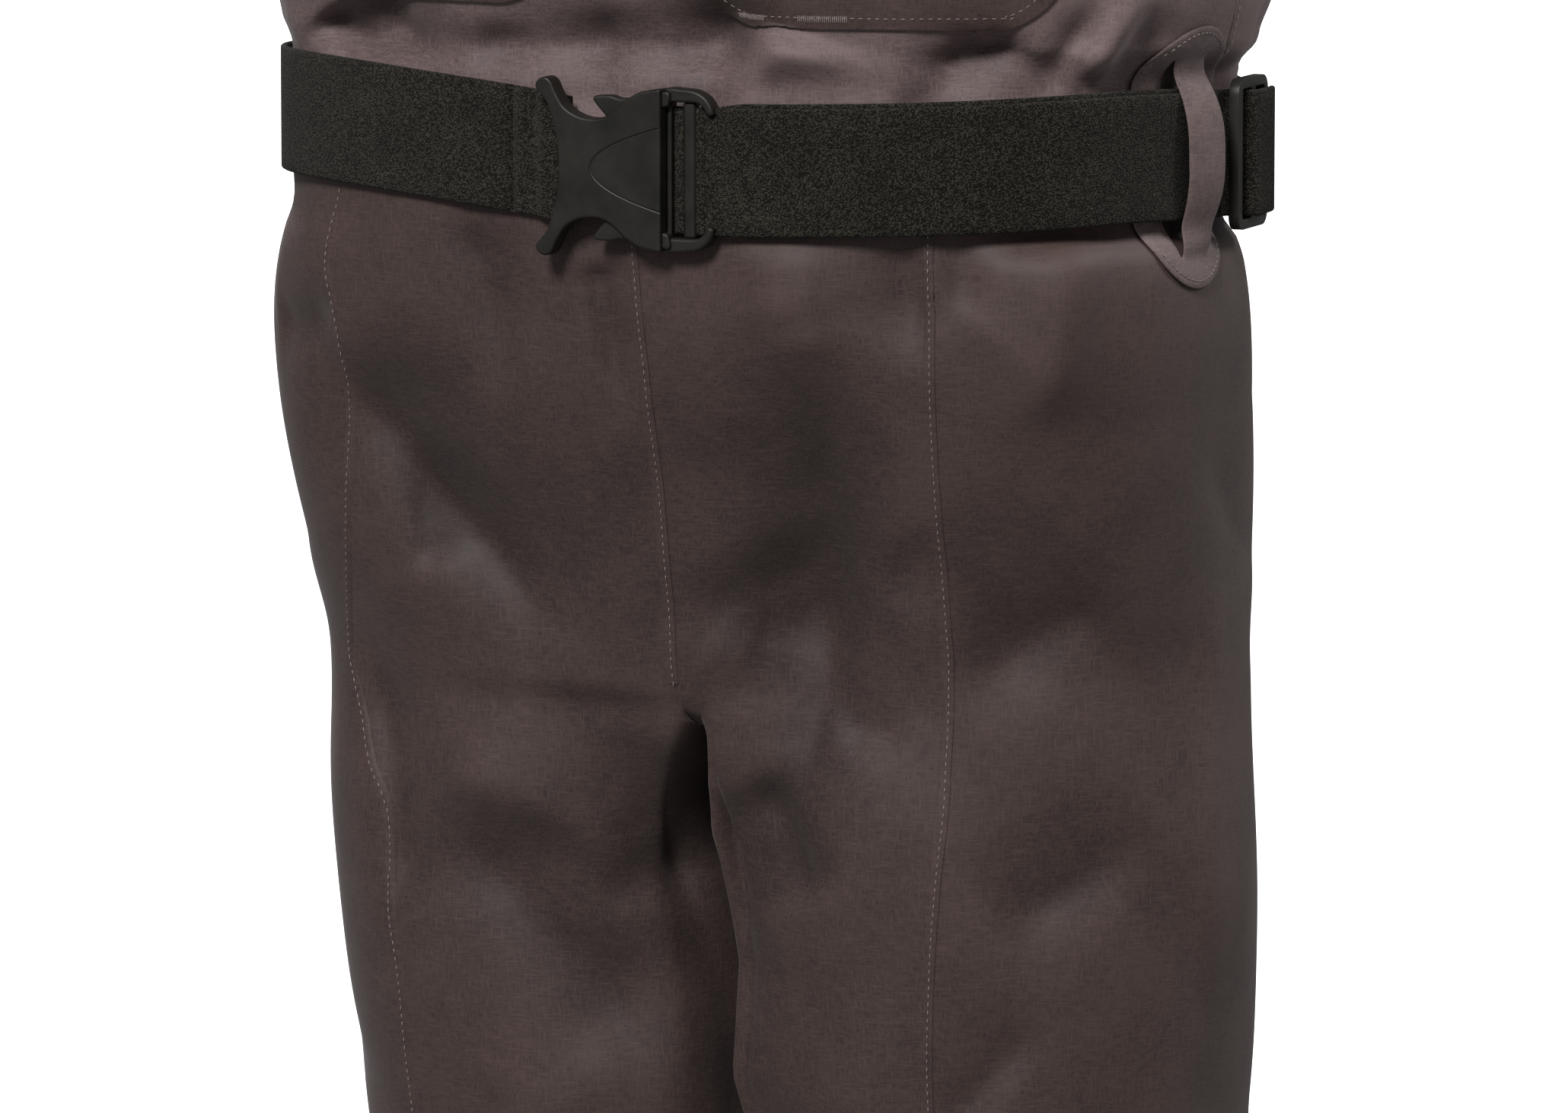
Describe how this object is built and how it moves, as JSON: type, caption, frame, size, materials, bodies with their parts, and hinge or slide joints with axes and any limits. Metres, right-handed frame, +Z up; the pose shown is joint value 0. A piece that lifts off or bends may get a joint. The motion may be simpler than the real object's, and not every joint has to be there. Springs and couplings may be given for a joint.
{
  "type": "stockingfoot waders",
  "caption": "Stockingfoot chest waders standing as worn: a cloth bib and trouser legs, neoprene socks with soles, chest pockets and a buckled wading belt in its side loop.",
  "frame": {"origin": "on the floor, below the middle of the waders' overall box", "axes": "+Z up, the front faces -Y, the wearer's left is +X"},
  "size_m": [0.4406, 0.299, 1.335],
  "materials": {
    "bib_cloth": "matt laminated nylon, light taupe",
    "leg_cloth": "matt laminated nylon, brown grey",
    "neoprene": "knit-faced neoprene, dark grey",
    "webbing": "brushed stretch webbing, near black",
    "buckle_plastic": "satin moulded plastic, near black"
  },
  "bodies": {
    "root": {"bib": "bib_cloth", "leg_left": "leg_cloth", "leg_right": "leg_cloth", "sock_left": "neoprene", "sock_right": "neoprene", "sole_left": "neoprene", "sole_right": "neoprene", "pocket_left": "leg_cloth", "pocket_right": "leg_cloth", "belt": "webbing", "belt_return": "webbing", "buckle_housing": "buckle_plastic", "buckle_frame": "buckle_plastic", "belt_slider": "buckle_plastic", "belt_loop": "bib_cloth"}
  },
  "joints": []
}
